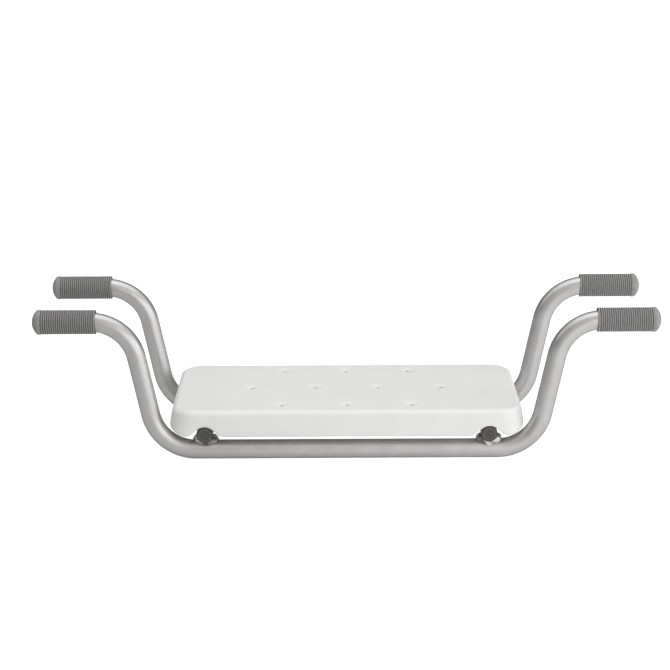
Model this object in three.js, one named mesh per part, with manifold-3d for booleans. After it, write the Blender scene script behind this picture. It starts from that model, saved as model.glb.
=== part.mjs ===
// Bath transfer bench: a low seat that hangs inside a bath.
//
// Two bent rails carry the load up to four rubber grips, which lie on the rims of the bath. Two short
// cross tubes are welded on top of the rails, and a hollow moulded seat is screwed down onto them.
//
// Frame, in millimetres: X runs across the bath, Y from the front (-Y) to the back, and Z up.
// Z = 0 is the underside of the rails, and X = Y = 0 is the middle of the bench.

import * as THREE from "three";
import { mergeVertices } from "three/addons/utils/BufferGeometryUtils.js";
import Module from "manifold-3d";

const wasm = await Module();
wasm.setup();

// ---------------------------------------------------------------- driving dimensions

const GAP = 0.3; // clearance between two pieces that touch
const CUT = 1; // how far a cutting shape runs past the face it cuts

const BENCH = {
  width: 715, // over the domed ends of the grips
  rise: 153, // from the axis of a rail's bottom run up to the axis of its grips
};

const RAIL = {
  diameter: 22,
  wall: 1.5,
  spacing: 160, // between the axes of the front and the rear rail
  bottomRun: 348, // straight length between the two lower bends
  bendRadius: 53, // of the axis, the same in all four bends
  bendAngle: THREE.MathUtils.degToRad(78.3),
  bendSteps: 8,
};

const GRIP = {
  diameter: 28.5,
  length: 72.5,
  endWall: 6.5, // at the tip, so that the bore stays clear of the dome
  crownRadius: 19.5, // of the shallow dome that closes the end
  shoulderRadius: 3.4, // of the rounded edge between the dome and the side
  mouthLength: 8, // the bell mouth clears the end of the rail's upper bend
  mouthFlare: 0.6,
};

const CROSS_TUBE = {
  diameter: 19,
  wall: 1.5,
  offset: 163.8, // of its axis from the middle of the bench
};

const PLUG = {
  faceOffset: 93.5, // of its outer face from the middle of the bench
  flange: 3,
  chamfer: 1.8,
  spigotLength: 12,
  spigotWall: 1.8,
  dishRadius: 6.5,
  dishDepth: 0.5,
};

const SEAT = {
  width: 413,
  depth: 191,
  bottom: 30,
  top: 61,
  cornerRadius: 26,
  topEdgeRadius: 6,
  bottomEdgeRadius: 3, // along the front and the back
  endRoundWidth: 18, // the lower edge of each end is rounded off to follow the rails' bends
  endRoundHeight: 11,
  endDraft: 5, // how far each end leans in between the bottom and the top
  frontDraft: 0.5,
  wall: 3,
  grooveRadius: 10.5, // of the grooves' roofs, which rest on the cross tubes and clear their sides
  grooveFlare: 13, // radius of the grooves' rounded lips
};

const DRAIN = {
  rowSpacing: 67,
  pitch: 75,
  rows: [3, 4, 3], // holes in the rear, middle and front row
  radius: 2.5,
  dishRadius: 7.5,
  dishDepth: 1.5,
};

const SCREW = {
  diameter: 5,
  length: 30,
  offset: 45, // of each screw from the middle of its cross tube
  headDiameter: 9.5,
  headHeight: 3.7,
  socketAcross: 3,
  socketDepth: 2,
};

const WASHER = {
  diameter: 14, // a saddle washer, hollowed on top to fit the round tube
  thickness: 2, // below the underside of the cross tube
  rimHeight: 4, // the saddle's rim, beside the tube
};

const INSERT = {
  diameter: 8,
  length: 10,
  bossWall: 3,
};

const WELD = {
  halfLength: 14, // of the bead along the rail
  halfWidth: 10.5, // along the cross tube
  halfHeight: 9,
};

// ---------------------------------------------------------------- dimensions that follow

const railRadius = RAIL.diameter / 2;
const railTop = RAIL.diameter;
const gripAxisHeight = railRadius + BENCH.rise;
const gripEnd = BENCH.width / 2;
const crossRadius = CROSS_TUBE.diameter / 2;
const crossAxisHeight = railTop + GAP + crossRadius;
const crossBottom = crossAxisHeight - crossRadius;
const grooveRoof = crossAxisHeight + crossRadius + GAP;
const grooveAxisHeight = grooveRoof - SEAT.grooveRadius;
const crossBoreSides = 16;
const crossBoreFlat = (crossRadius - CROSS_TUBE.wall) * Math.cos(Math.PI / crossBoreSides);
const crossHalfLength = PLUG.faceOffset - PLUG.flange - GAP;
const washerBottom = crossBottom - GAP - WASHER.thickness;
const screwSeatHeight = washerBottom - GAP;
const insertBottom = grooveRoof + GAP;
const insertTop = insertBottom + INSERT.length;

const SIDES = [
  ["left", -1],
  ["right", 1],
];
const ENDS = [
  ["front", -1],
  ["rear", 1],
];

// ---------------------------------------------------------------- materials

function aluminium() {
  return new THREE.MeshStandardMaterial({ color: 0xb4b2ad, roughness: 0.42, metalness: 0.9 });
}

function weldMetal() {
  return new THREE.MeshStandardMaterial({ color: 0xc9c8c5, roughness: 0.35, metalness: 0.95 });
}

function whitePlastic() {
  return new THREE.MeshStandardMaterial({ color: 0xe9e9e8, roughness: 0.5, metalness: 0 });
}

function greyRubber() {
  return new THREE.MeshStandardMaterial({ color: 0x7d7d7b, roughness: 0.85, metalness: 0 });
}

function darkPlastic() {
  return new THREE.MeshStandardMaterial({ color: 0x4b4a45, roughness: 0.6, metalness: 0 });
}

function steel() {
  return new THREE.MeshStandardMaterial({ color: 0xa8a9ab, roughness: 0.35, metalness: 1 });
}

function brass() {
  return new THREE.MeshStandardMaterial({ color: 0xb5934a, roughness: 0.4, metalness: 1 });
}

// ---------------------------------------------------------------- solids

function toSolid(geometry) {
  const bare = geometry.clone();
  bare.deleteAttribute("normal");
  bare.deleteAttribute("uv");
  const merged = mergeVertices(bare);
  const mesh = new wasm.Mesh({
    numProp: 3,
    vertProperties: merged.attributes.position.array,
    triVerts: new Uint32Array(merged.index.array),
  });
  return new wasm.Manifold(mesh);
}

function toGeometry(solid) {
  const mesh = solid.getMesh();
  const geometry = new THREE.BufferGeometry();
  geometry.setAttribute("position", new THREE.BufferAttribute(mesh.vertProperties, 3));
  geometry.setIndex(new THREE.BufferAttribute(mesh.triVerts, 1));
  geometry.computeVertexNormals();
  return geometry;
}

function cutAll(solid, tools) {
  return tools.reduce((rest, tool) => rest.subtract(toSolid(tool)), solid);
}

// A closed outline [radius, height] turned round the Z axis. It starts and ends on the axis, or closes
// on itself. LatheGeometry turns round Y, so the result is stood up.
function turned(outline, sides) {
  const points = outline.map(([radius, height]) => new THREE.Vector2(radius, height));
  return new THREE.LatheGeometry(points, sides).rotateX(Math.PI / 2);
}

// A disc or rod standing on Z, between two heights.
function rod(radius, bottom, top, sides) {
  return turned([[0, bottom], [radius, bottom], [radius, top], [0, top]], sides);
}

function polygon(radius, sides) {
  const corner = (_, i) => {
    const angle = (2 * Math.PI * i) / sides;
    return new THREE.Vector2(radius * Math.cos(angle), radius * Math.sin(angle));
  };
  return Array.from({ length: sides }, corner);
}

function tubeSection(radius, wall, outerSides, innerSides) {
  const section = new THREE.Shape(polygon(radius, outerSides));
  section.holes.push(new THREE.Path(polygon(radius - wall, innerSides)));
  return section;
}

// A shape drawn in X and Z, extruded along Y and centred on Y = 0.
function alongY(shape, length, curveSegments) {
  const settings = { depth: length, bevelEnabled: false, curveSegments };
  return new THREE.ExtrudeGeometry(shape, settings).translate(0, 0, -length / 2).rotateX(Math.PI / 2);
}

// ---------------------------------------------------------------- rails

// A curve with its own list of stations, so that sections of an extrusion land where a bend starts,
// along the bend and where it ends, and nowhere else.
class StationPath extends THREE.Curve {
  constructor(stations) {
    super();
    this.stations = stations;
  }

  stationAt(u) {
    return this.stations[Math.round(u * (this.stations.length - 1))];
  }

  getPointAt(u, target = new THREE.Vector3()) {
    return target.copy(this.stationAt(u).point);
  }

  getTangentAt(u, target = new THREE.Vector3()) {
    return target.copy(this.stationAt(u).tangent);
  }
}

// The rail's axis in the XZ plane, walked from the left end to the right end.
function railStations() {
  const { bendRadius, bendAngle, bendSteps, bottomRun } = RAIL;
  const bendDrop = bendRadius * (1 - Math.cos(bendAngle));
  const bendReach = bendRadius * Math.sin(bendAngle);
  const slant = (BENCH.rise - 2 * bendDrop) / Math.sin(bendAngle);
  const upperBendEnd = bottomRun / 2 + 2 * bendReach + slant * Math.cos(bendAngle);
  const endRun = gripEnd - GRIP.endWall - GAP - upperBendEnd;

  let heading = 0;
  const point = new THREE.Vector3(-upperBendEnd - endRun, 0, BENCH.rise);
  const direction = () => new THREE.Vector3(Math.cos(heading), 0, Math.sin(heading));
  const stations = [{ point: point.clone(), tangent: direction() }];

  const straight = (length) => {
    point.addScaledVector(direction(), length);
    stations.push({ point: point.clone(), tangent: direction() });
  };
  const bend = (turn) => {
    const step = (turn * bendAngle) / bendSteps;
    const chord = 2 * bendRadius * Math.sin(Math.abs(step) / 2);
    for (let i = 0; i < bendSteps; i += 1) {
      heading += step / 2;
      point.addScaledVector(direction(), chord);
      heading += step / 2;
      stations.push({ point: point.clone(), tangent: direction() });
    }
  };

  straight(endRun);
  bend(-1);
  straight(slant);
  bend(1);
  straight(bottomRun);
  bend(1);
  straight(slant);
  bend(-1);
  straight(endRun);
  return stations;
}

function rail() {
  const stations = railStations();
  const section = tubeSection(railRadius, RAIL.wall, 20, 12);
  const settings = { steps: stations.length - 1, extrudePath: new StationPath(stations) };
  return new THREE.ExtrudeGeometry(section, settings);
}

// ---------------------------------------------------------------- grips

// An arc of the dome's outline, from one angle off the axis to another, round a centre on or beside it.
function domeArc(centreRadius, centreHeight, radius, from, to, steps) {
  return Array.from({ length: steps + 1 }, (_, i) => {
    const angle = from + ((to - from) * i) / steps;
    return [centreRadius + radius * Math.sin(angle), centreHeight + radius * Math.cos(angle)];
  });
}

// One sleeve along +Z, with the tip of its closed domed end at Z = 0 and its open mouth below.
function grip() {
  const { crownRadius, shoulderRadius } = GRIP;
  const radius = GRIP.diameter / 2;
  const bore = railRadius + GAP;
  const mouth = -GRIP.length;
  const boreEnd = -GRIP.endWall;
  const shoulderCentre = radius - shoulderRadius;
  const reach = crownRadius - shoulderRadius; // from the crown's centre to the shoulder's
  const meet = Math.asin(shoulderCentre / reach);
  const shoulderHeight = reach * Math.cos(meet) - crownRadius;
  const shoulder = domeArc(shoulderCentre, shoulderHeight, shoulderRadius, meet, Math.PI / 2, 3);
  const crown = domeArc(0, -crownRadius, crownRadius, 0, meet, 3).slice(0, -1);
  const outline = [
    [0, boreEnd],
    [bore, boreEnd],
    [bore, mouth + GRIP.mouthLength],
    [bore + GRIP.mouthFlare, mouth],
    [radius, mouth],
    ...shoulder.reverse(),
    ...crown.reverse(),
    [0, boreEnd],
  ];
  return turned(outline, 20);
}

// ---------------------------------------------------------------- cross tubes, plugs and welds

function crossTube() {
  const section = tubeSection(crossRadius, CROSS_TUBE.wall, 20, crossBoreSides);
  const tube = toSolid(alongY(section, 2 * crossHalfLength));
  const holeRadius = SCREW.diameter / 2 + 2 * GAP;
  const holes = ENDS.map(([, end]) => {
    const hole = rod(holeRadius, -crossRadius - CUT, crossRadius + CUT, 12);
    return hole.translate(0, end * SCREW.offset, 0);
  });
  return toGeometry(cutAll(tube, holes));
}

// One plug along +Z, with its outer face at Z = 0 and its hollow spigot below.
function plug() {
  const { flange, chamfer, spigotLength, spigotWall, dishRadius, dishDepth } = PLUG;
  const spigot = crossBoreFlat - GAP;
  const end = -flange - spigotLength;
  const outline = [
    [0, -dishDepth],
    [dishRadius - dishDepth, -dishDepth],
    [dishRadius, 0],
    [crossRadius - chamfer, 0],
    [crossRadius, -chamfer],
    [crossRadius, -flange],
    [spigot, -flange],
    [spigot, end],
    [spigot - spigotWall, end],
    [spigot - spigotWall, -flange],
    [0, -flange],
    [0, -dishDepth],
  ];
  return turned(outline.reverse(), 20);
}

// A ring of weld metal in the wedge between a rail below and a cross tube above. The origin is the
// point where the two tubes touch.
function weld() {
  const { halfLength, halfWidth, halfHeight } = WELD;
  const bead = toSolid(new THREE.SphereGeometry(1, 18, 10).scale(halfLength, halfWidth, halfHeight));
  const reach = 4 * halfLength;
  const below = new THREE.Shape(polygon(railRadius + GAP, 20));
  const above = new THREE.Shape(polygon(crossRadius + GAP, 20));
  const railCut = alongY(below, reach).rotateZ(Math.PI / 2).translate(0, 0, -railRadius - GAP / 2);
  const crossCut = alongY(above, reach).translate(0, 0, crossRadius + GAP / 2);
  return toGeometry(cutAll(bead, [railCut, crossCut]));
}

// ---------------------------------------------------------------- seat

// A slab whose rounded-rectangle section changes with height, one ring { z, halfX, halfY, radius } for
// each level. It starts as a unit slab with its corner centres at (+-1, +-1), and each corner point is
// then moved out to its place on its ring.
function slab(rings, cornerSegments) {
  const outline = new THREE.Shape();
  const corners = [[1, 1], [-1, 1], [-1, -1], [1, -1]];
  corners.forEach(([x, y], i) => {
    outline.absarc(x, y, 1, (i * Math.PI) / 2, ((i + 1) * Math.PI) / 2, false);
  });
  const settings = { depth: 1, steps: rings.length - 1, bevelEnabled: false, curveSegments: cornerSegments };
  const geometry = new THREE.ExtrudeGeometry(outline, settings);
  const position = geometry.attributes.position;
  for (let i = 0; i < position.count; i += 1) {
    const ring = rings[Math.round(position.getZ(i) * (rings.length - 1))];
    const signX = Math.sign(position.getX(i));
    const signY = Math.sign(position.getY(i));
    const x = signX * (ring.halfX - ring.radius) + (position.getX(i) - signX) * ring.radius;
    const y = signY * (ring.halfY - ring.radius) + (position.getY(i) - signY) * ring.radius;
    position.setXYZ(i, x, y, ring.z);
  }
  return geometry;
}

// The seat's section at one height, leaning in with the draft and pulled in by its two insets.
function seatRing(height, insetX, insetY) {
  const lean = (height - SEAT.bottom) / (SEAT.top - SEAT.bottom);
  return {
    z: height,
    halfX: SEAT.width / 2 - lean * SEAT.endDraft - insetX,
    halfY: SEAT.depth / 2 - lean * SEAT.frontDraft - insetY,
    radius: SEAT.cornerRadius - insetY,
  };
}

// How far a rounded edge is pulled in at a height above its start.
function edgeInset(radius, height) {
  const left = Math.max(radius - height, 0);
  return radius - Math.sqrt(radius ** 2 - left ** 2);
}

// The rings of the seat's outside, or of a surface that lies the same distance inside it everywhere.
function seatRings(inset, edgeSteps) {
  const endWidth = SEAT.endRoundWidth - inset;
  const endHeight = SEAT.endRoundHeight - inset;
  const lowRadius = Math.max(SEAT.bottomEdgeRadius - inset, 1);
  const highRadius = SEAT.topEdgeRadius - inset;
  const angles = Array.from({ length: edgeSteps + 1 }, (_, i) => (i / edgeSteps) * (Math.PI / 2));
  const lowRings = angles.map((angle) => {
    const height = endHeight * (1 - Math.cos(angle));
    const insetX = inset + endWidth * (1 - Math.sin(angle));
    const insetY = inset + edgeInset(lowRadius, height);
    return seatRing(SEAT.bottom + inset + height, insetX, insetY);
  });
  const highRings = angles.map((angle) => {
    const height = SEAT.top - inset - highRadius * (1 - Math.sin(angle));
    const pulledIn = inset + highRadius * (1 - Math.cos(angle));
    return seatRing(height, pulledIn, pulledIn);
  });
  return [...lowRings, ...highRings];
}

// The groove over a cross tube: a round roof that runs out into two rounded lips at the seat's
// underside. The roof and each lip are circles that touch, so the outline stays smooth.
function groove(grow) {
  const roof = SEAT.grooveRadius + grow;
  const lip = SEAT.grooveFlare - grow;
  const bottom = SEAT.bottom + grow;
  const lipHeight = bottom + lip - grooveAxisHeight;
  const lipOffset = Math.sqrt((roof + lip) ** 2 - lipHeight ** 2);
  const meet = Math.asin(lipHeight / (roof + lip));
  const outline = new THREE.Shape();
  outline.moveTo(lipOffset, bottom - grooveAxisHeight - grow - CUT);
  outline.absarc(lipOffset, lipHeight, lip, -Math.PI / 2, meet - Math.PI, true);
  outline.absarc(0, 0, roof, meet, Math.PI - meet, false);
  outline.absarc(-lipOffset, lipHeight, lip, -meet, -Math.PI / 2, true);
  outline.lineTo(-lipOffset, bottom - grooveAxisHeight - grow - CUT);
  return alongY(outline, SEAT.depth + 2 * CUT, 5).translate(0, 0, grooveAxisHeight);
}

function drainPlaces() {
  return DRAIN.rows.flatMap((count, row) => {
    const y = DRAIN.rowSpacing * (1 - row);
    const x = (i) => DRAIN.pitch * (i - (count - 1) / 2);
    return Array.from({ length: count }, (_, i) => [x(i), y]);
  });
}

// A drain hole with its dished mouth, or, grown by the wall, the column of plastic round it.
function drain(grow) {
  const { top, bottom } = SEAT;
  const mouth = DRAIN.dishRadius + grow;
  const hole = DRAIN.radius + grow;
  const dishBottom = top - DRAIN.dishDepth - grow;
  const high = top + CUT;
  const outline = [[0, bottom - CUT], [hole, bottom - CUT], [hole, dishBottom], [mouth, top - grow]];
  outline.push([mouth, high], [0, high]);
  return turned(outline, 12);
}

function screwPlaces() {
  return SIDES.flatMap(([, side]) =>
    ENDS.map(([, end]) => [side * CROSS_TUBE.offset, end * SCREW.offset]),
  );
}

function seat() {
  const pocketRadius = INSERT.diameter / 2 + GAP;
  const bossRadius = pocketRadius + INSERT.bossWall;
  const place = (geometry, [x, y]) => geometry.translate(x, y, 0);
  const grooves = (grow) => SIDES.map(([, side]) => groove(grow).translate(side * CROSS_TUBE.offset, 0, 0));

  const columns = drainPlaces().map((at) => place(drain(SEAT.wall), at));
  const bosses = screwPlaces().map((at) => place(rod(bossRadius, SEAT.bottom, SEAT.top, 12), at));
  const cavity = cutAll(toSolid(slab(seatRings(SEAT.wall, 3), 3)), [
    ...grooves(SEAT.wall),
    ...columns,
    ...bosses,
  ]);

  const drains = drainPlaces().map((at) => place(drain(0), at));
  const pockets = screwPlaces().map((at) =>
    place(rod(pocketRadius, SEAT.bottom, insertTop + GAP, 12), at),
  );
  const vent = rod(DRAIN.radius, SEAT.bottom - CUT, SEAT.bottom + SEAT.wall + CUT, 12);
  const shell = toSolid(slab(seatRings(0, 5), 4)).subtract(cavity);
  return toGeometry(cutAll(shell, [...grooves(0), ...drains, ...pockets, vent]));
}

// ---------------------------------------------------------------- screws, washers and inserts

function screw() {
  const { diameter, length, headDiameter, headHeight, socketAcross, socketDepth } = SCREW;
  const shank = diameter / 2;
  const head = headDiameter / 2;
  const outline = [[0, -headHeight], [head * 0.6, -headHeight], [head * 0.9, -headHeight * 0.7]];
  outline.push([head, -headHeight * 0.3], [head, 0], [shank, 0]);
  outline.push([shank, length - 1], [shank - 1, length], [0, length]);
  const socket = rod(socketAcross / Math.sqrt(3), -headHeight - CUT, -headHeight + socketDepth, 6);
  return toGeometry(cutAll(toSolid(turned(outline, 14)), [socket]));
}

// A washer with a hollow top that fits the underside of a cross tube. Z = 0 is its flat bottom.
function washer() {
  const bore = SCREW.diameter / 2 + GAP;
  const rim = WASHER.diameter / 2;
  const outline = [[bore, 0], [rim, 0], [rim, WASHER.rimHeight], [bore, WASHER.rimHeight], [bore, 0]];
  const ring = toSolid(turned(outline, 20));
  const tube = alongY(new THREE.Shape(polygon(crossRadius + GAP, 20)), 4 * rim);
  return toGeometry(cutAll(ring, [tube.translate(0, 0, crossAxisHeight - washerBottom)]));
}

function insert() {
  const bore = SCREW.diameter / 2 + GAP;
  const outside = INSERT.diameter / 2;
  return turned([[bore, 0], [outside, 0], [outside, INSERT.length], [bore, INSERT.length], [bore, 0]], 14);
}

// ---------------------------------------------------------------- assembly

const bench = new THREE.Group();

function addPart(name, geometry, material, [x, y, z] = [0, 0, 0]) {
  const part = new THREE.Mesh(geometry, material);
  part.name = name;
  part.position.set(x, y, z);
  bench.add(part);
  return part;
}

addPart("seat", seat(), whitePlastic());

for (const [endName, end] of ENDS) {
  const railOffset = (end * RAIL.spacing) / 2;
  addPart(`${endName}_rail`, rail(), aluminium(), [0, railOffset, railRadius]);

  for (const [sideName, side] of SIDES) {
    const corner = `${endName}_${sideName}`;
    const crossAt = side * CROSS_TUBE.offset;

    const gripTip = [side * gripEnd, railOffset, gripAxisHeight];
    const sleeve = addPart(`${corner}_grip`, grip(), greyRubber(), gripTip);
    sleeve.rotation.y = (side * Math.PI) / 2;

    const plugFace = [crossAt, end * PLUG.faceOffset, crossAxisHeight];
    const cap = addPart(`${corner}_plug`, plug(), darkPlastic(), plugFace);
    cap.rotation.x = (-end * Math.PI) / 2;

    addPart(`${corner}_weld`, weld(), weldMetal(), [crossAt, railOffset, railTop + GAP / 2]);

    const screwAt = end * SCREW.offset;
    addPart(`${corner}_screw`, screw(), steel(), [crossAt, screwAt, screwSeatHeight]);
    addPart(`${corner}_washer`, washer(), steel(), [crossAt, screwAt, washerBottom]);
    addPart(`${corner}_insert`, insert(), brass(), [crossAt, screwAt, insertBottom]);
  }
}

for (const [sideName, side] of SIDES) {
  addPart(`${sideName}_cross_tube`, crossTube(), aluminium(), [side * CROSS_TUBE.offset, 0, crossAxisHeight]);
}

export default bench;
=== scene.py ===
"""Blender scene of the bath transfer bench.

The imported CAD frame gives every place: this script reads the box of each node, builds a finer mesh
in the same place, gives it a procedural material and lights the bench like a plain studio shot.
A piece is built in millimetres, and its mesh is scaled to the scene's metres as it is made. The
floor, the lights and the camera are in metres.
"""

import math

import bmesh
import bpy
import numpy as np
from mathutils import Matrix, Vector


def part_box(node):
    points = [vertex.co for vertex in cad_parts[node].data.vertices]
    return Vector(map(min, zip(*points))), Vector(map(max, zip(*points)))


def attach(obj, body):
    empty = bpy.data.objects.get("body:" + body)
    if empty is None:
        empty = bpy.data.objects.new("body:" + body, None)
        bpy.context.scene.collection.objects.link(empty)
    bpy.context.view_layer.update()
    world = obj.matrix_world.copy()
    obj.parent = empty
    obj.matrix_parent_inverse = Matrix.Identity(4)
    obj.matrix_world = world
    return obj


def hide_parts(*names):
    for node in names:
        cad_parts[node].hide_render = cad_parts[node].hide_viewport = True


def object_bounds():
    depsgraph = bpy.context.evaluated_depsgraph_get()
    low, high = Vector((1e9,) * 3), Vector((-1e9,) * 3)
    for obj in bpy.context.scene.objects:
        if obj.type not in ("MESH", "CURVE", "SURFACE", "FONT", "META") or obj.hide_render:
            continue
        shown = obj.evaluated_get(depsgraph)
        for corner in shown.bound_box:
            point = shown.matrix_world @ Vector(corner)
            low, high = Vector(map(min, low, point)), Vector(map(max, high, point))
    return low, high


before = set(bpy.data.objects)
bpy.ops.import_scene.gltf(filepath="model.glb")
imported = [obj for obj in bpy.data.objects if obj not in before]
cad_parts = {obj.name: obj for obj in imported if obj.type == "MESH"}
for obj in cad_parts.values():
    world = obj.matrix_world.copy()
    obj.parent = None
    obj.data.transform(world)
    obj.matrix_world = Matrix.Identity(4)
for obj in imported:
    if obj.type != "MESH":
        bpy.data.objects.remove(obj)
cad_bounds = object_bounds()

MM = 0.001
GAP = 0.3  # millimetres between two pieces that touch, as in the CAD

SIDES = (("left", -1), ("right", 1))
ENDS = (("front", -1), ("rear", 1))
CORNERS = [(f"{end}_{side}", y, x) for end, y in ENDS for side, x in SIDES]


# ------------------------------------------------------------------ dimensions, in millimetres


def box(node):
    """The lowest and the highest corner of a CAD node."""
    low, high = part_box(node)
    return np.array(low) / MM, np.array(high) / MM


def middle(node):
    """The middle of a CAD node's box."""
    low, high = box(node)
    return (low + high) / 2


def size(node):
    """The sides of a CAD node's box."""
    low, high = box(node)
    return high - low


class Rail:
    """The bent tube that runs from grip to grip."""

    radius = size("front_rail")[1] / 2
    wall = 1.5
    rise = size("front_rail")[2] - 2 * radius
    half_span = size("front_rail")[0] / 2
    bottom_run = 348
    bend_radius = 53
    bend_angle = math.radians(78.3)  # from level to the slanted rise
    bend_steps = 26
    sides = 56


class Cross:
    """The short tube that is welded across both rails and carries the seat."""

    radius = size("left_cross_tube")[0] / 2
    wall = 1.5
    half_length = size("left_cross_tube")[1] / 2
    axis_height = middle("left_cross_tube")[2]
    offset = middle("right_cross_tube")[0]
    sides = 56


class Grip:
    """The ribbed rubber sleeve on the end of a rail."""

    radius = size("front_left_grip")[1] / 2
    length = size("front_left_grip")[0]
    bore_gap = 0.15
    end_wall = 6.5
    crown_radius = 19.5  # of the dome's middle
    shoulder_radius = 3.4  # of the dome's edge
    first_rib = 10.2  # where the ribs begin, from the tip
    rib_pitch = 2.45
    ribs = 25
    steps_per_rib = 12
    rib_drop = 0.15  # of the ribs' tops below the plain bands at both ends
    groove_depth = 0.9
    groove_half_width = 0.6
    mouth_length = 8
    mouth_flare = 0.75
    edge = 0.4  # the size of its small roundings
    sides = 80


class Plug:
    """The plastic plug in each end of a cross tube."""

    flange = 3
    rim_width = 2.2
    rim_height = 1.7
    spigot_radius = 7.5
    spigot_length = 12
    spigot_wall = 1.8
    bead_radius = 6.8  # of the fine raised ring on its face
    bead_height = 0.4
    bead_half_width = 0.4
    dish_radius = 5.4
    dish_depth = 0.45
    sides = 72


class Seat:
    """The moulded seat. Its lower edge is rounded off more at the ends than along the front.

    Its mesh is the outer skin, with the drains and pockets. The cavity inside is left to the CAD.
    """

    low, high = box("seat")
    bottom = low[2]
    top = high[2]
    half_width = 206.5  # this and the next are at the bottom, before the lower edge is rounded
    half_depth = 95.5
    corner = 26
    end_draft = 5  # how far an end wall leans in from bottom to top
    front_draft = 0.5
    top_round = 6
    low_round = 3
    end_round_width = 18
    end_round_height = 11
    groove_radius = 10.5
    groove_axis = Cross.axis_height + Cross.radius + GAP - groove_radius
    groove_lip = 13  # the radius that flares the groove out at the seat's underside
    pocket_gap = 0.2  # round an insert
    pocket_lip = 0.6
    vent_depth = 6


class Drain:
    """The dished drain holes in the seat, in three rows."""

    row_spacing = 67
    pitch = 75
    rows = (3, 4, 3)
    radius = 2.5
    dish_radius = 7.5
    dish_depth = 1.5
    hole_lip = 0.9
    dish_lip = 1.3


class Screw:
    """The pan-head screws that hold the seat from below."""

    offset = middle("rear_left_screw")[1]
    length = size("rear_left_screw")[2]
    head_radius = 4.75
    head_height = 3.7
    pan_flat = 2.2  # the radius of the flat in the middle of the head
    pan_height = 0.75 * head_height  # of the head's rounded part
    shank_radius = 2.5
    plain_shank = 9
    thread_pitch = 0.8
    thread_depth = 0.42
    plain_tip = 1.6
    socket_across = 3
    socket_depth = 2
    sides = 48


class Washer:
    """The saddle washer under each screw head, hollowed on top to fit the tube."""

    low, high = box("rear_left_washer")
    radius = (high[1] - low[1]) / 2
    rim_height = high[2] - low[2]
    bore = 2.8
    chamfer = 0.5
    sides = 64


class Weld:
    """The ring of weld metal between a rail and a cross tube, measured out from where they touch."""

    rail_reach = (15.0, 8.2)  # of its toe on the rail, along the rail and across it
    cross_reach = (9.25, 10.2)  # of its toe on the cross tube, across that tube and along it
    bulge = 1.5  # of the bead over the straight line between its toes
    lump = 0.6
    ripple = 0.2
    ripples = 34  # around the ring
    hidden_cross = 1.5  # how far in from its toe the bead ends inside the cross tube
    hidden_rail = 2.5  # how far in from its toe it ends inside the rail
    sunk = 0.6  # how deep both of those ends lie
    steps_around = 220
    steps_across = 21
    # The first seed is picked for where the painted shade and painted glints of the weld beads fall.
    first_seed = 32


# ------------------------------------------------------------------ meshes


def make_mesh(name, points, faces, crease=32):
    """A mesh from points in millimetres, faces turned outwards, with edges over the crease sharp."""
    mesh = bpy.data.meshes.new(name)
    mesh.from_pydata((np.asarray(points, float) * MM).tolist(), [], np.asarray(faces).tolist())
    shape = bmesh.new()
    shape.from_mesh(mesh)
    bmesh.ops.remove_doubles(shape, verts=shape.verts, dist=1e-7)
    bmesh.ops.recalc_face_normals(shape, faces=shape.faces)
    shape.to_mesh(mesh)
    shape.free()
    mesh.shade_smooth()
    mesh.set_sharp_from_angle(angle=math.radians(crease))
    return mesh


def skin(rings):
    """Points and quads over a row of closed rings, with the last ring joined to the first."""
    count, sides = rings.shape[:2]
    number = np.arange(count * sides).reshape(count, sides)
    ahead = np.roll(number, -1, axis=0)
    beside = np.roll(number, -1, axis=1)
    both = np.roll(ahead, -1, axis=1)
    return rings.reshape(-1, 3), np.stack([number, beside, both, ahead], axis=-1).reshape(-1, 4)


def turned(outline, sides, axis="Z"):
    """The rings of an outline [radius, height] turned round an axis. It closes on itself."""
    radius, height = np.asarray(outline, float).T[:, :, None]
    angle = np.arange(sides) * 2 * math.pi / sides
    across = radius * np.cos(angle)
    up = radius * np.sin(angle)
    along = height * np.ones(sides)
    order = {"X": (along, across, up), "Y": (up, along, across), "Z": (across, up, along)}
    return np.stack(order[axis], axis=-1)


def set_attribute(mesh, name, values):
    """A number or a vector for each point of a mesh, for its material to read."""
    values = np.asarray(values, np.float32)
    kind, field = ("FLOAT_VECTOR", "vector") if values.ndim == 2 else ("FLOAT", "value")
    attribute = mesh.attributes.new(name, kind, "POINT")
    attribute.data.foreach_set(field, values.ravel())


def points_of(mesh):
    """A mesh's points, in millimetres."""
    values = np.zeros(len(mesh.vertices) * 3)
    mesh.vertices.foreach_get("co", values)
    return values.reshape(-1, 3) / MM


def show(name, mesh, material, node, place=(0, 0, 0)):
    """Puts a mesh in the scene, in place of its CAD node."""
    mesh.transform(Matrix.Translation(Vector(place) * MM))
    mesh.materials.append(material)
    piece = bpy.data.objects.new(name, mesh)
    bpy.context.scene.collection.objects.link(piece)
    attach(piece, "root")
    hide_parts(node)
    return piece


# ------------------------------------------------------------------ tubes


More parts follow.
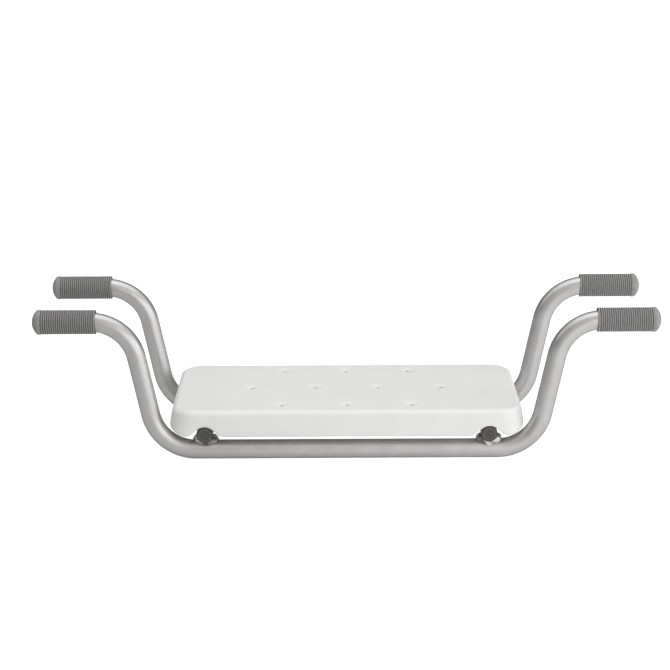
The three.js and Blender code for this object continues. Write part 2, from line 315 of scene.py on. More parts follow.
def rail_path():
    """Points and headings along a rail's axis in X and Z, from its left end to its right end."""
    drop = Rail.bend_radius * (1 - math.cos(Rail.bend_angle))
    reach = Rail.bend_radius * math.sin(Rail.bend_angle)
    slant = (Rail.rise - 2 * drop) / math.sin(Rail.bend_angle)
    bends_end = Rail.bottom_run / 2 + 2 * reach + slant * math.cos(Rail.bend_angle)
    end_run = Rail.half_span - bends_end

    point = np.array([-Rail.half_span, Rail.rise])
    stations = [(point, 0.0)]

    def straight(length):
        last, heading = stations[-1]
        along = np.array([math.cos(heading), math.sin(heading)])
        stations.append((last + along * length, heading))

    def bend(turn):
        step = turn * Rail.bend_angle / Rail.bend_steps
        chord = 2 * Rail.bend_radius * math.sin(abs(step) / 2)
        for _ in range(Rail.bend_steps):
            last, heading = stations[-1]
            along = np.array([math.cos(heading + step / 2), math.sin(heading + step / 2)])
            stations.append((last + along * chord, heading + step))

    straight(end_run)
    bend(-1)
    straight(slant)
    bend(1)
    straight(Rail.bottom_run)
    bend(1)
    straight(slant)
    bend(-1)
    straight(end_run)
    return stations


def tube_mesh(name, stations, radius, wall, sides):
    """A hollow tube along stations in X and Z, with where each point would lie on a straight tube."""
    angle = np.arange(sides) * 2 * math.pi / sides
    travelled = 0.0
    last = stations[0][0]
    outer, inner, straight_outer, straight_inner = [], [], [], []
    for point, heading in stations:
        travelled += float(np.linalg.norm(point - last))
        last = point
        for r, rings, straight in (
            (radius, outer, straight_outer),
            (radius - wall, inner, straight_inner),
        ):
            up = r * np.cos(angle)
            across = r * np.sin(angle)
            x = point[0] - math.sin(heading) * up
            z = point[1] + math.cos(heading) * up
            rings.append(np.stack([x, across, z], axis=-1))
            straight.append(np.stack([up, across, np.full(sides, travelled)], axis=-1))
    points, faces = skin(np.array(outer + inner[::-1]))
    mesh = make_mesh(name, points, faces)
    set_attribute(mesh, "straight", np.array(straight_outer + straight_inner[::-1]).reshape(-1, 3) * MM)
    return mesh


def build_rails(material):
    for end, _ in ENDS:
        node = f"{end}_rail"
        mesh = tube_mesh(node, rail_path(), Rail.radius, Rail.wall, Rail.sides)
        place = (0, middle(node)[1], box(node)[0][2] + Rail.radius)
        show(f"{end}_rail_tube", mesh, material, node, place)


def build_cross_tubes(material):
    run = [(np.array([-Cross.half_length, 0]), 0.0), (np.array([Cross.half_length, 0]), 0.0)]
    for side, _ in SIDES:
        node = f"{side}_cross_tube"
        mesh = tube_mesh(node, run, Cross.radius, Cross.wall, Cross.sides)
        mesh.transform(Matrix.Rotation(math.pi / 2, 4, "Z"))
        show(f"{side}_cross_tube_body", mesh, material, node, middle(node))


# ------------------------------------------------------------------ grips


def grip_outline():
    """Radius and distance from the tip: over the dome, along the ribs, round the mouth and back."""
    shoulder_centre = Grip.radius - Grip.shoulder_radius
    reach = Grip.crown_radius - Grip.shoulder_radius
    meeting = math.asin(shoulder_centre / reach)
    shoulder_depth = Grip.crown_radius - reach * math.cos(meeting)
    dome = [
        (Grip.crown_radius * math.sin(a), Grip.crown_radius * (1 - math.cos(a)))
        for a in np.linspace(0, meeting, 14)
    ]
    for a in np.linspace(meeting, math.pi / 2, 10)[1:]:
        out = shoulder_centre + Grip.shoulder_radius * math.sin(a)
        dome.append((out, shoulder_depth - Grip.shoulder_radius * math.cos(a)))

    last_rib = Grip.first_rib + Grip.ribs * Grip.rib_pitch
    ribs = [(Grip.radius, Grip.first_rib - 0.3)]
    for along in np.arange(Grip.first_rib, last_rib, Grip.rib_pitch / Grip.steps_per_rib):
        off = (along - Grip.first_rib) % Grip.rib_pitch - Grip.rib_pitch / 2
        depth = Grip.groove_depth * math.exp(-((off / Grip.groove_half_width) ** 4))
        ribs.append((Grip.radius - Grip.rib_drop - depth, along))

    bore = Rail.radius + Grip.bore_gap
    end = Grip.length
    mouth = [
        (Grip.radius - Grip.rib_drop, last_rib),
        (Grip.radius - Grip.edge * 0.3, last_rib + 0.1),
        (Grip.radius, last_rib + 0.35),
        (Grip.radius, end - Grip.edge),
        (Grip.radius - Grip.edge * 0.3, end - Grip.edge * 0.3),
        (Grip.radius - Grip.edge, end),
        (bore + Grip.mouth_flare, end),
        (bore, end - Grip.mouth_length),
        (bore, Grip.end_wall),
        (0, Grip.end_wall),
    ]
    return dome + ribs + mouth


def build_grips(material):
    """The grips, with how deep each point lies in a groove kept for their material, which paints shade
    into the grooves.
    """
    for corner, _, side in CORNERS:
        node = f"{corner}_grip"
        low, high = box(node)
        outline = [(radius, -side * along) for radius, along in grip_outline()]
        mesh = make_mesh(node, *skin(turned(outline, Grip.sides, "X")), crease=60)
        points = points_of(mesh)
        sunk = Grip.radius - Grip.rib_drop - np.hypot(points[:, 1], points[:, 2])
        ribbed = abs(points[:, 0]) > Grip.first_rib - 0.2
        set_attribute(mesh, "groove", np.clip(sunk / Grip.groove_depth, 0, 1) * ribbed)
        tip = (high[0] if side > 0 else low[0], *middle(node)[1:])
        show(f"{corner}_grip_sleeve", mesh, material, node, tip)


# ------------------------------------------------------------------ plugs


def plug_outline():
    """Radius and height of a plug, with its outer face at height 0 and its hollow spigot below."""
    dish, bead, high = Plug.dish_radius, Plug.bead_radius, Plug.bead_height
    end = -Plug.flange - Plug.spigot_length
    bore = Plug.spigot_radius - Plug.spigot_wall
    rim_start = Cross.radius - Plug.rim_width
    rim = [
        (rim_start + Plug.rim_width * math.sin(a), -high - Plug.rim_height * (1 - math.cos(a)))
        for a in np.linspace(0, math.pi / 2, 9)
    ]
    return [
        (0, -high - Plug.dish_depth),
        (dish - 0.9, -high - Plug.dish_depth),
        (dish - 0.3, -high - Plug.dish_depth * 0.75),
        (dish, -high - 0.05),
        (dish + 0.3, -high),
        (bead - 0.6, -high),
        (bead - 0.25, -0.08),
        (bead, 0),
        (bead + 0.15, -0.08),
        *rim,
        (Cross.radius, -Plug.flange),
        (Plug.spigot_radius, -Plug.flange),
        (Plug.spigot_radius, end),
        (bore, end),
        (bore, -Plug.flange),
        (0, -Plug.flange),
    ]


def build_plugs(material):
    """The plugs, with how near each point lies to the bead kept for the painted highlight in their
    material.
    """
    for corner, end, _ in CORNERS:
        node = f"{corner}_plug"
        low, high = box(node)
        outline = [(radius, end * height) for radius, height in plug_outline()]
        mesh = make_mesh(node, *skin(turned(outline, Plug.sides, "Y")), crease=40)
        points = points_of(mesh)
        from_bead = np.hypot(points[:, 0], points[:, 2]) - Plug.bead_radius
        on_face = abs(points[:, 1]) < Plug.bead_height / 2
        set_attribute(mesh, "bead", on_face * np.exp(-((from_bead / Plug.bead_half_width) ** 2)))
        face = (middle(node)[0], high[1] if end > 0 else low[1], middle(node)[2])
        show(f"{corner}_plug_cap", mesh, material, node, face)


# ------------------------------------------------------------------ welds


def oval(reach, angle):
    """How far an oval with these two half-axes reaches in a direction."""
    return 1 / np.sqrt((np.cos(angle) / reach[0]) ** 2 + (np.sin(angle) / reach[1]) ** 2)


def weld_mesh(name, seed):
    """A closed ring of weld bead, with the point where the two tubes touch as its origin."""
    angle = np.arange(Weld.steps_around) * 2 * math.pi / Weld.steps_around
    across = np.linspace(0, 1, Weld.steps_across)[:, None]  # from the rail's toe to the cross tube's
    east, north = np.cos(angle), np.sin(angle)
    random = np.random.default_rng(seed)

    def wave(turns, low, high, slant=0.0):
        """A wave of random height and start round the bead, slanting as it crosses it."""
        start = random.uniform(0, 2 * math.pi)
        return random.uniform(low, high) * np.sin(turns * angle + start + slant * across)

    wander = (wave(1, 0.6, 1.8) + wave(3, 0.3, 0.6) + wave(5, 0.2, 0.5))[0]
    rail_toe = oval(Weld.rail_reach, angle) + wander
    rail_side = np.minimum(abs(rail_toe * north), 0.95 * Rail.radius)
    rail_height = np.sqrt(Rail.radius**2 - rail_side**2) - Rail.radius
    widest = (Cross.radius - 0.2) / np.maximum(abs(east), 1e-6)
    cross_toe = np.minimum(oval(Weld.cross_reach, angle), widest)
    cross_height = Cross.radius - np.sqrt(Cross.radius**2 - (cross_toe * east) ** 2)

    hump = np.sin(math.pi * across)
    lumps = wave(9, 0.3, 0.6, 3) + wave(13, 0.3, 0.7, -4) + wave(19, 0.2, 0.5, 5)
    scales = abs(np.sin(Weld.ripples / 2 * angle + 1.6 * (across - 0.5) ** 2 + 0.5 * wander))
    swell = (Weld.bulge * (0.4 + 0.8 * east**2) + 0.2 * wander) * hump**0.7
    swell = swell + hump * (Weld.lump * lumps + Weld.ripple * (2 * scales - 1))
    out = rail_toe * (1 - across) + cross_toe * across + swell * 0.75
    height = rail_height * (1 - across) + cross_height * across + swell * 0.55 * abs(east)
    in_cross = (cross_toe - Weld.hidden_cross, cross_height + Weld.sunk)
    in_rail = (rail_toe - Weld.hidden_rail, rail_height - Weld.sunk)
    rings = [
        np.stack([reach * east, reach * north, level], axis=-1)
        for reach, level in (*zip(out, height), in_cross, in_rail)
    ]
    mesh = make_mesh(name, *skin(np.array(rings)), crease=70)

    # Painted light in the weld's colour: high values make dark patches, partly soot and partly painted
    # shade, and low values make bright patches, partly bare metal and partly painted glints.
    soot_and_painted_light = np.clip(0.5 + wave(2, 0.2, 0.5) + wave(5, 0.2, 0.4, 2) + wave(11, 0.1, 0.3, 6), 0, 1)
    set_attribute(mesh, "soot_and_painted_light", np.concatenate([soot_and_painted_light, soot_and_painted_light[-1:], soot_and_painted_light[:1]]).ravel())
    return mesh


def build_welds(material):
    for number, (corner, end, side) in enumerate(CORNERS):
        rail = middle("front_rail" if end < 0 else "rear_rail")
        touch = (side * Cross.offset, rail[1], Cross.axis_height - Cross.radius)
        mesh = weld_mesh(corner, Weld.first_seed + number)
        show(f"{corner}_weld_bead", mesh, material, f"{corner}_weld", touch)


# ------------------------------------------------------------------ seat


def meet(a, b, radius):
    """Inside both shapes, with the edge between them rounded to a radius."""
    corner = np.hypot(np.maximum(a + radius, 0), np.maximum(b + radius, 0))
    return np.minimum(np.maximum(a, b), -radius) + corner


def meet_oval(a, b, width, height):
    """Inside both shapes, with the edge between them rounded to an oval of this width and height."""
    u, v = a / width + 1, b / height + 1
    corner = np.hypot(np.maximum(u, 0), np.maximum(v, 0))
    return (np.minimum(np.maximum(u, v), 0) + corner - 1) * np.minimum(width, height)


def drain_places():
    for row, count in enumerate(Drain.rows):
        for i in range(count):
            yield Drain.pitch * (i - (count - 1) / 2), Drain.row_spacing * (1 - row)


def seat_field(points):
    """Below zero inside the seat, zero on its surface."""
    x, y, z = np.moveaxis(points, -1, 0)
    lean = (z - Seat.bottom) / (Seat.top - Seat.bottom)
    past_x = abs(x) - (Seat.half_width - lean * Seat.end_draft - Seat.corner)
    past_y = abs(y) - (Seat.half_depth - lean * Seat.front_draft - Seat.corner)
    out_x, out_y = np.maximum(past_x, 0), np.maximum(past_y, 0)
    corner = np.hypot(out_x, out_y)
    wall = corner + np.minimum(np.maximum(past_x, past_y), 0) - Seat.corner
    endwise = np.where(corner > 0, (out_x / np.maximum(corner, 1e-6)) ** 2, past_x > past_y)

    groove = np.hypot(abs(x) - Cross.offset, z - Seat.groove_axis) - Seat.groove_radius
    floor = meet(Seat.bottom - z, -groove, Seat.groove_lip)
    body = meet(wall, z - Seat.top, Seat.top_round)
    round_width = Seat.low_round + (Seat.end_round_width - Seat.low_round) * endwise
    round_height = Seat.low_round + (Seat.end_round_height - Seat.low_round) * endwise
    body = meet_oval(body, floor, round_width, round_height)

    off = np.min([np.hypot(x - at_x, y - at_y) for at_x, at_y in drain_places()], axis=0)
    sphere = (Drain.dish_radius**2 + Drain.dish_depth**2) / (2 * Drain.dish_depth)
    dish = np.hypot(off, z - (Seat.top - Drain.dish_depth + sphere)) - sphere
    drained = meet(-dish, Drain.radius - off, Drain.hole_lip)
    body = meet(body, drained, Drain.dish_lip)

    _, insert_high = box("rear_left_insert")
    pocket_radius = size("rear_left_insert")[0] / 2 + Seat.pocket_gap
    pocket = np.hypot(abs(x) - Cross.offset, abs(y) - Screw.offset) - pocket_radius
    pocket = np.maximum(pocket, z - insert_high[2] - GAP)
    vent = np.maximum(np.hypot(x, y) - Drain.radius, z - Seat.bottom - Seat.vent_depth)
    return meet(body, -np.minimum(pocket, vent), Seat.pocket_lip)


def slope(field, points):
    """The gradient of a field, by central differences."""
    step = 0.01
    sides = [field(points + step * axis) - field(points - step * axis) for axis in np.eye(3)]
    return np.stack(sides, axis=-1) / (2 * step)


def surface_net(field, axes):
    """Points, quads and normals of the surface where a field is zero, on a grid with these axes.

    Each cell of the grid that the surface crosses holds one point, which is moved onto the surface,
    and each edge of the grid that it crosses is covered by one quad.
    """
    grid = np.stack(np.meshgrid(*axes, indexing="ij"), axis=-1)
    values = field(grid)
    inside = values < 0
    cells = tuple(n - 1 for n in values.shape)
    total = np.zeros(cells + (3,))
    count = np.zeros(cells)
    crossings = []
    for axis in range(3):
        low = [slice(None)] * 3
        high = [slice(None)] * 3
        low[axis], high[axis] = slice(None, -1), slice(1, None)
        low, high = tuple(low), tuple(high)
        crossed = inside[low] != inside[high]
        crossings.append(crossed)
        share = np.where(crossed, values[low] / np.where(crossed, values[low] - values[high], 1), 0)
        place = grid[low] + share[..., None] * (grid[high] - grid[low])
        b, c = (axis + 1) % 3, (axis + 2) % 3
        for back_b in (0, 1):
            for back_c in (0, 1):
                part = [slice(None)] * 3
                part[b] = slice(back_b, back_b + cells[b])
                part[c] = slice(back_c, back_c + cells[c])
                part = tuple(part)
                count += crossed[part]
                total += np.where(crossed[part][..., None], place[part], 0)

    number = np.full(cells, -1)
    number[count > 0] = np.arange(np.count_nonzero(count))
    points = total[count > 0] / count[count > 0][:, None]
    newton_steps, longest = 5, 0.6
    for _ in range(newton_steps):
        gradient = slope(field, points)
        move = field(points) / np.maximum((gradient**2).sum(-1), 0.05)
        points = points - gradient * np.clip(move, -longest, longest)[:, None]
    normals = slope(field, points)
    normals /= np.linalg.norm(normals, axis=1)[:, None]

    quads = []
    unit = np.eye(3, dtype=int)
    for axis, crossed in enumerate(crossings):
        b, c = unit[(axis + 1) % 3], unit[(axis + 2) % 3]
        edge = np.argwhere(crossed)
        around = [number[tuple((edge - back).T)] for back in (b + c, c, 0 * b, b)]
        quad = np.stack(around, axis=1)
        leaving = inside[tuple(edge.T)]
        quads.append(np.where(leaving[:, None], quad, quad[:, ::-1]))
    return points, np.concatenate(quads), normals


def graded_axis(end, fine, coarse, busy):
    """Grid lines from -end to end, close together in the busy bands (middle, half width)."""
    line = fine / 2
    lines = []
    while line < end:
        lines.append(line)
        near = any(abs(line - at) < reach for at, reach in busy)
        line += fine if near else coarse
    lines.append(end)
    return np.array([-v for v in reversed(lines)] + lines)


def seat_axes():
    """Grid lines for the seat: fine at its edges, grooves, drains and pockets, coarse between them."""
    fine = 0.75
    coarse = 3.2
    spare = 3  # between the seat and the outermost lines
    drain = Drain.dish_radius + 2.5
    drains_x = [(Drain.pitch * k / 2, drain) for k in range(4)]
    drains_y = [(Drain.row_spacing * k, drain) for k in range(2)]
    ends = (Seat.half_width - Seat.end_draft, 24)
    edges = (Seat.half_depth, 14)
    grooves = (Cross.offset, Seat.groove_radius + Seat.groove_lip + 4)
    pockets = (Screw.offset, 6)
    along_x = graded_axis(Seat.half_width + spare, fine, coarse, [*drains_x, grooves, ends])
    along_y = graded_axis(Seat.half_depth + spare, fine, coarse, [*drains_y, pockets, edges])
    up = np.arange(Seat.bottom - 1.3 * fine, Seat.top + 1.5 * fine, fine)
    return along_x, along_y, up


def build_seat(material):
    points, quads, normals = surface_net(seat_field, seat_axes())
    mesh = bpy.data.meshes.new("seat")
    mesh.from_pydata((points * MM).tolist(), [], quads.tolist())
    mesh.shade_smooth()
    mesh.normals_split_custom_set_from_vertices(normals.tolist())
    show("seat_shell", mesh, material, "seat")


# ------------------------------------------------------------------ screws, washers and inserts


def level_ring(radius, height, sides):
    """A level ring of points round the Z axis, with one radius or one for each point."""
    angle = np.arange(sides) * 2 * math.pi / sides
    return np.stack([radius * np.cos(angle), radius * np.sin(angle), np.full(sides, height)], -1)


def screw_rings():
    """The rings of a screw with its head down, from the floor of its socket round to its tip."""

    def ring(radius, height):
        return level_ring(radius, height, Screw.sides)

    angle = np.arange(Screw.sides) * 2 * math.pi / Screw.sides
    sector = (angle + math.pi / 6) % (math.pi / 3) - math.pi / 6
    hexagon = Screw.socket_across / 2 / np.cos(sector)
    socket = [  # a drilled point, tapered flats and a chamfer
        ring(0, Screw.socket_depth + 0.6),
        ring(hexagon * 0.98, Screw.socket_depth),
        ring(hexagon, 0.35),
        ring(hexagon + 0.25, 0),
    ]

    head, shank = Screw.head_radius, Screw.shank_radius
    pan = [
        ring(
            Screw.pan_flat + (head - Screw.pan_flat) * math.sin(a),
            Screw.pan_height * (1 - math.cos(a)) + 0.05,
        )
        for a in np.linspace(0, math.pi / 2, 9)
    ]
    under_head = [ring(head, Screw.head_height), ring(shank, Screw.head_height)]

    thread = []
    start = Screw.head_height + Screw.plain_shank
    for crest in np.arange(start, Screw.length - Screw.plain_tip, Screw.thread_pitch):
        thread.append(ring(shank, crest))
        thread.append(ring(shank - Screw.thread_depth, crest + Screw.thread_pitch / 2))
    tip = [
        ring(shank - 0.2, Screw.length - 1.0),
        ring(shank - 1.1, Screw.length),
        ring(0, Screw.length),
    ]
    return np.array(socket + pan + under_head + thread + tip)


def build_screws(material):
    """Pan-head screws, head down, each with a hex socket and a thread."""
    for corner, _, _ in CORNERS:
        node = f"{corner}_screw"
        low, _ = box(node)
        mesh = make_mesh(node, *skin(screw_rings()), crease=30)
        place = (*middle(node)[:2], low[2])
        show(f"{corner}_screw_body", mesh, material, node, place)


def build_washers(material):
    """Saddle washers: flat below, and hollowed above to the round of the cross tube."""
    tube_radius = Cross.radius + GAP
    tube_height = Cross.axis_height - Washer.low[2]

    def saddle(radius):
        ring = level_ring(radius, 0, Washer.sides)
        past = np.minimum(abs(ring[:, 0]), tube_radius)
        hollow = tube_height - np.sqrt(tube_radius**2 - past**2)
        ring[:, 2] = np.minimum(hollow, Washer.rim_height)
        return ring

    rim, bore, chamfer = Washer.radius, Washer.bore, Washer.chamfer
    outline = ((bore, 0), (rim - chamfer, 0), (rim, chamfer))
    rings = [level_ring(radius, height, Washer.sides) for radius, height in outline]
    rings += [saddle(radius) for radius in np.linspace(rim, bore, 10)]
    for corner, _, _ in CORNERS:
        node = f"{corner}_washer"
        mesh = make_mesh(node, *skin(np.array(rings)), crease=30)
        place = (*middle(node)[:2], Washer.low[2])
        show(f"{corner}_washer_ring", mesh, material, node, place)


def dress_inserts(material):
    """The threaded inserts keep their CAD shape, hidden in the seat."""
    for corner, _, _ in CORNERS:
        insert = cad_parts[f"{corner}_insert"]
        insert.data.materials.clear()
        insert.data.materials.append(material)


# ------------------------------------------------------------------ materials


class Nodes:
    """A node tree, with short calls for the nodes in it."""

    def __init__(self, tree):
        self.tree = tree

    def node(self, kind, **values):
        made = self.tree.nodes.new(kind)
        for key, value in values.items():
            setattr(made, key, value)
        return made

    def feed(self, socket, value):
        """Links a node's output to a socket, or sets the socket to a plain value."""
        if isinstance(value, bpy.types.NodeSocket):
            self.tree.links.new(value, socket)
        else:
            socket.default_value = value

    def math(self, operation, a, b, c=0.0):
        """The result of a Math node."""
        made = self.node("ShaderNodeMath", operation=operation)
        for socket, value in zip(made.inputs, (a, b, c)):
            self.feed(socket, value)
        return made.outputs[0]

    def sum(self, a, b, weight=1.0):
        """a plus weight times b."""
        return self.math("MULTIPLY_ADD", b, weight, a)

    def dot(self, vector, direction):
        made = self.node("ShaderNodeVectorMath", operation="DOT_PRODUCT")
        self.feed(made.inputs[0], vector)
        made.inputs[1].default_value = direction
        return made.outputs["Value"]

    def unless_seen(self, light, seen):
        """One strength for the light on the bench, and another where the camera sees its source."""
        made = self.node("ShaderNodeMix")
        self.feed(made.inputs["Factor"], self.node("ShaderNodeLightPath").outputs["Is Camera Ray"])
        self.feed(made.inputs["A"], light)
        self.feed(made.inputs["B"], seen)
        return made.outputs["Result"]


class Paint(Nodes):
    """A material with a Principled shader, and short calls for what feeds it.

    A keyword is the name of a socket of the shader, with _ for each space.
    """

    def __init__(self, name, **sockets):
        self.material = bpy.data.materials.new(name)
        self.material.use_nodes = True
        super().__init__(self.material.node_tree)
        self.shader = self.tree.nodes["Principled BSDF"]
        self.use(**sockets)

    def use(self, **sockets):
        for socket, value in sockets.items():
            self.feed(self.shader.inputs[socket.replace("_", " ")], value)

    def place(self):
        """Where a point is, in metres."""
        return self.node("ShaderNodeTexCoord").outputs["Object"]

    def attribute(self, name, output):
        """A value that a mesh carries on its points."""
        return self.node("ShaderNodeAttribute", attribute_name=name).outputs[output]

    def stretch(self, vector, scale):
        """The same vector, with each of its directions scaled."""
        made = self.node("ShaderNodeMapping")
        self.feed(made.inputs["Vector"], vector)
        made.inputs["Scale"].default_value = scale
        return made.outputs["Vector"]

    def noise(self, vector, period, detail=2.0, roughness=0.5):
        """Noise from 0 to 1 whose blobs are about one period across, in millimetres."""
        made = self.node("ShaderNodeTexNoise")
        self.feed(made.inputs["Vector"], vector)
        made.inputs["Scale"].default_value = 1 / (period * MM)
        made.inputs["Detail"].default_value = detail
        made.inputs["Roughness"].default_value = roughness
        return made.outputs["Fac"]

    def spread(self, value, low, high, start=0.3, stop=0.7):
        """Carries a value from start..stop over to low..high, and holds it there."""
        made = self.node("ShaderNodeMapRange", clamp=True)
        self.feed(made.inputs["Value"], value)
        made.inputs["From Min"].default_value = start
        made.inputs["From Max"].default_value = stop
        made.inputs["To Min"].default_value = low
        made.inputs["To Max"].default_value = high
        return made.outputs["Result"]

    def blend(self, factor, a, b):
        """Colour a where the factor is 0, colour b where it is 1."""
        made = self.node("ShaderNodeMix", data_type="RGBA")
        self.feed(made.inputs[0], factor)
        self.feed(made.inputs[6], a)
        self.feed(made.inputs[7], b)
        return made.outputs[2]

    def bump(self, height, depth, below=None):
        """Relief from a height of 0 to 1 that stands for this depth, in millimetres."""
        made = self.node("ShaderNodeBump")
        self.feed(made.inputs["Height"], height)
        made.inputs["Distance"].default_value = depth * MM
        if below:
            self.feed(made.inputs["Normal"], below)
        return made.outputs["Normal"]


def grey(level, warmth=0.0):
    """A linear grey, redder than it is blue where its warmth is above 0, and bluer below 0."""
    return (level * (1 + warmth), level, level * (1 - warmth), 1)


def aluminium():
    """Drawn tube with a satin silver finish: fine lines along it, and faint cloudy handling marks."""
    paint = Paint("satin_aluminium", Metallic=1.0, Specular_Tint=grey(0.35))
    straight = paint.attribute("straight", "Vector")
    lines = paint.noise(paint.stretch(straight, (1, 1, 0.012)), 0.35, detail=3)
    clouds = paint.noise(straight, 16, detail=4, roughness=0.6)
    specks = paint.noise(straight, 1.1, detail=3, roughness=0.7)
    tone = paint.sum(paint.spread(clouds, 0, 0.75), paint.spread(lines, 0, 0.25))
    colour = paint.blend(tone, grey(0.51, 0.016), grey(0.59, 0.012))
    rough = paint.sum(paint.spread(clouds, 0.34, 0.42), paint.spread(specks, -0.02, 0.03))
    relief = paint.bump(lines, 0.006)
    paint.use(Base_Color=colour, Roughness=rough, Normal=paint.bump(specks, 0.01, relief))
    return paint.material


def weld_metal():
    """Solid weld bead with a pitted skin, dark in some patches, partly from soot and partly as painted
    shade, and bright in others, partly as painted glints.
    """
    paint = Paint("weld_bead", Metallic=1.0)
    place = paint.place()
    pits = paint.noise(place, 1.3, detail=3, roughness=0.6)
    # Painted light: the dark colour is partly soot and partly painted shade, and the pale colour is
    # partly bare metal and partly painted glints.
    soot_and_painted_light = paint.sum(paint.attribute("soot_and_painted_light", "Fac"), paint.spread(pits, -0.25, 0.25))
    colour = paint.blend(paint.spread(soot_and_painted_light, 0, 1, 0.1, 0.9), grey(0.70, 0.01), grey(0.17, 0.03))
    rough = paint.spread(soot_and_painted_light, 0.26, 0.5, 0, 1)
    paint.use(Base_Color=colour, Roughness=rough, Normal=paint.bump(pits, 0.18))
    return paint.material


def white_plastic():
    """Moulded white plastic: faint grain, a slow waviness of the wall and slightly varying gloss."""
    paint = Paint("moulded_white_plastic", IOR=1.5, Specular_IOR_Level=0.42)
    place = paint.place()
    grain = paint.noise(place, 0.7, detail=3, roughness=0.6)
    wave = paint.noise(place, 42, detail=2)
    scuffs = paint.noise(paint.stretch(place, (0.35, 1, 1)), 5, detail=5, roughness=0.7)
    tone = paint.sum(paint.spread(wave, 0, 0.6), paint.spread(scuffs, 0, 0.4, 0.35, 0.75))
    colour = paint.blend(tone, (0.800, 0.797, 0.790, 1), (0.850, 0.848, 0.843, 1))
    rough = paint.sum(paint.spread(scuffs, 0.40, 0.50), paint.spread(grain, 0, 0.05))
    relief = paint.bump(wave, 0.35)
    paint.use(Base_Color=colour, Roughness=rough, Normal=paint.bump(grain, 0.012, relief))
    return paint.material


def grey_rubber():
    """Grey rubber with a dull, slightly mottled skin, and grooves darkened with painted shade."""
    paint = Paint("ribbed_grey_rubber", IOR=1.5, Specular_IOR_Level=0.35)
    place = paint.place()
    groove = paint.attribute("groove", "Fac")
    mottle = paint.noise(place, 3.5, detail=4, roughness=0.65)
    skin_grain = paint.noise(place, 0.45, detail=2)
    face = paint.blend(paint.spread(mottle, 0, 1), grey(0.24, 0.012), grey(0.32, 0.012))
    # Painted shade: a point is painted darker the deeper it lies in a groove.
    colour = paint.blend(paint.spread(groove, 0, 1, 0.25, 0.9), face, grey(0.11, 0.02))
    rough = paint.spread(mottle, 0.58, 0.72)
    paint.use(Base_Color=colour, Roughness=rough, Normal=paint.bump(skin_grain, 0.03))
    return paint.material


def dark_plastic():
    """Dark grey moulded plastic with a fine spark-eroded texture, and its raised bead painted pale as a
    highlight.
    """
    paint = Paint("dark_moulded_plastic", IOR=1.5, Specular_IOR_Level=0.4)
    place = paint.place()
    grain = paint.noise(place, 0.4, detail=2)
    cloud = paint.noise(place, 4, detail=3)
    face = paint.blend(paint.spread(cloud, 0, 1), grey(0.060, 0.04), grey(0.085, 0.04))
    # Painted highlight: the raised bead is painted paler than the face.
    colour = paint.blend(paint.attribute("bead", "Fac"), face, grey(0.13, 0.03))
    rough = paint.spread(grain, 0.48, 0.62)
    paint.use(Base_Color=colour, Roughness=rough, Normal=paint.bump(grain, 0.02))
    return paint.material


def stainless_steel():
    """Stainless steel with a slightly uneven bright skin."""
    paint = Paint("stainless_steel", Metallic=1.0)
    place = paint.place()
    cloud = paint.noise(place, 3, detail=3)
    grain = paint.noise(place, 0.25, detail=2)
    colour = paint.blend(paint.spread(cloud, 0, 1), grey(0.50, -0.01), grey(0.62, -0.005))
    rough = paint.spread(cloud, 0.26, 0.40)
    paint.use(Base_Color=colour, Roughness=rough, Normal=paint.bump(grain, 0.008))
    return paint.material


def brass():
    """Turned brass, slightly tarnished in patches."""
    paint = Paint("turned_brass", Metallic=1.0)
    place = paint.place()
    tarnish = paint.noise(place, 2.5, detail=3)
    colour = paint.blend(paint.spread(tarnish, 0, 1), (0.42, 0.28, 0.09, 1), (0.68, 0.48, 0.19, 1))
    paint.use(Base_Color=colour, Roughness=paint.spread(tarnish, 0.28, 0.45))
    return paint.material


# ------------------------------------------------------------------ studio


def build_floor():
    """A plain white floor that glows faintly, most on the right, and shows as clean paper."""
    half = 30
    drop = 0.0005
    mesh = bpy.data.meshes.new("floor")
    corners = [(-half, -half, 0), (half, -half, 0), (half, half, 0), (-half, half, 0)]
    mesh.from_pydata(corners, [], [(0, 1, 2, 3)])
    floor = bpy.data.objects.new("floor", mesh)
    floor.location.z = cad_bounds[0].z - drop
    bpy.context.scene.collection.objects.link(floor)

    paint = Paint("studio_floor", Base_Color=grey(0.6), Roughness=1, Specular_IOR_Level=0)
    rightward = paint.dot(paint.place(), (1, 0, 0))
    glow = paint.spread(rightward, 0.08, 0.45, start=-0.5, stop=0.5)
    paint.use(Emission_Color=grey(1), Emission_Strength=paint.unless_seen(glow, 0.9))
    mesh.materials.append(paint.material)


def build_world():
    """White to the camera. As light, a pale tent, brighter overhead, in front and on the right."""
    world = bpy.data.worlds.new("studio")
    bpy.context.scene.world = world
    world.use_nodes = True
    nodes = Nodes(world.node_tree)
    direction = nodes.node("ShaderNodeTexCoord").outputs["Generated"]
    lobes = (  # direction, how narrow, how strong
        ((0, 0, 1), 3, 0.92),
        ((0, -1, 0), 2, 0.47),
        ((1, 0, 0), 2, 0.27),
    )
    light = 0.20
    for toward, narrowness, strength in lobes:
        facing = nodes.math("MAXIMUM", nodes.dot(direction, toward), 0.0)
        light = nodes.sum(light, nodes.math("POWER", facing, narrowness), strength)
    background = nodes.tree.nodes["Background"]
    nodes.feed(background.inputs["Color"], grey(1))
    nodes.feed(background.inputs["Strength"], nodes.unless_seen(light, 1.0))


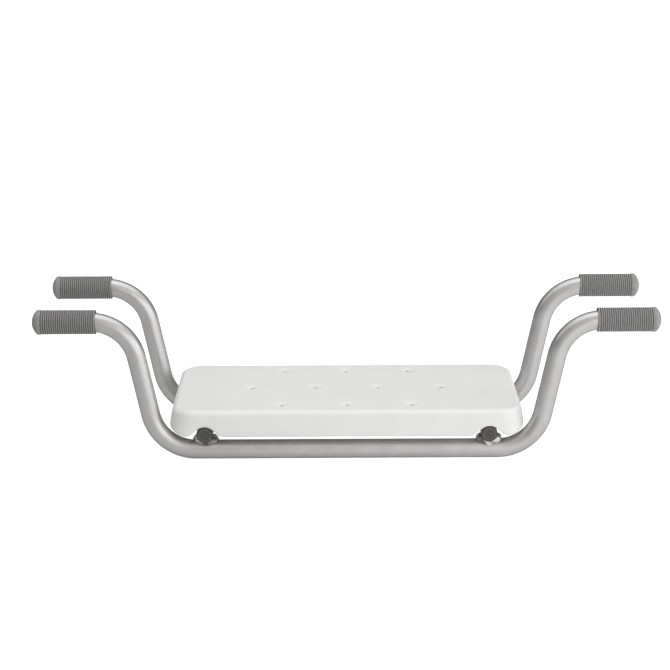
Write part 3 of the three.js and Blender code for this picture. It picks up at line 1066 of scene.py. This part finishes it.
def add_softbox(name, azimuth, elevation, distance, extent, power):
    """A soft area light that faces the bench. Azimuth 0 is the front and 90 the right."""
    centre = (cad_bounds[0] + cad_bounds[1]) / 2
    a, e = math.radians(azimuth), math.radians(elevation)
    away = Vector((math.sin(a) * math.cos(e), -math.cos(a) * math.cos(e), math.sin(e)))
    light = bpy.data.lights.new(name, "AREA")
    light.shape = "RECTANGLE"
    light.size, light.size_y = extent
    light.energy = power
    lamp = bpy.data.objects.new(name, light)
    lamp.location = centre + away * distance
    lamp.rotation_mode = "QUATERNION"
    lamp.rotation_quaternion = (-away).to_track_quat("-Z", "Y")
    lamp.visible_camera = False
    bpy.context.scene.collection.objects.link(lamp)


def build_lights():
    """Light mostly from above and from the front right, with a faint one on the left."""
    add_softbox("overhead_softbox", azimuth=170, elevation=82, distance=1.2, extent=(1.8, 1.1), power=4.2)
    add_softbox("front_softbox", azimuth=45, elevation=12, distance=1.6, extent=(2.0, 1.3), power=9.2)
    add_softbox("right_softbox", azimuth=84, elevation=18, distance=1.7, extent=(0.8, 1.2), power=3.2)
    add_softbox("left_softbox", azimuth=-95, elevation=38, distance=1.5, extent=(0.6, 0.6), power=1.3)


def build_camera():
    """The camera stands in front of the bench, a little left of its middle, and looks down at it."""
    looks_down, turned_left, rolled = 15.68, 0.075, -0.298  # degrees
    camera = bpy.data.cameras.new("camera")
    camera.sensor_width = 36
    camera.lens = 99.1
    camera.clip_start, camera.clip_end = 0.05, 200
    viewer = bpy.data.objects.new("camera", camera)
    place = Matrix.Translation((-0.0105, -2.1014, 0.7148))
    turn = Matrix.Rotation(math.radians(turned_left), 4, "Z")
    tilt = Matrix.Rotation(math.radians(90 - looks_down), 4, "X")
    roll = Matrix.Rotation(math.radians(rolled), 4, "Z")
    viewer.matrix_world = place @ turn @ tilt @ roll
    bpy.context.scene.collection.objects.link(viewer)
    bpy.context.scene.camera = viewer


tube_metal = aluminium()
steel = stainless_steel()
build_rails(tube_metal)
build_cross_tubes(tube_metal)
build_grips(grey_rubber())
build_plugs(dark_plastic())
build_welds(weld_metal())
build_seat(white_plastic())
build_screws(steel)
build_washers(steel)
dress_inserts(brass())

build_floor()
build_world()
build_lights()
build_camera()
bpy.context.scene.view_settings.view_transform = "Standard"
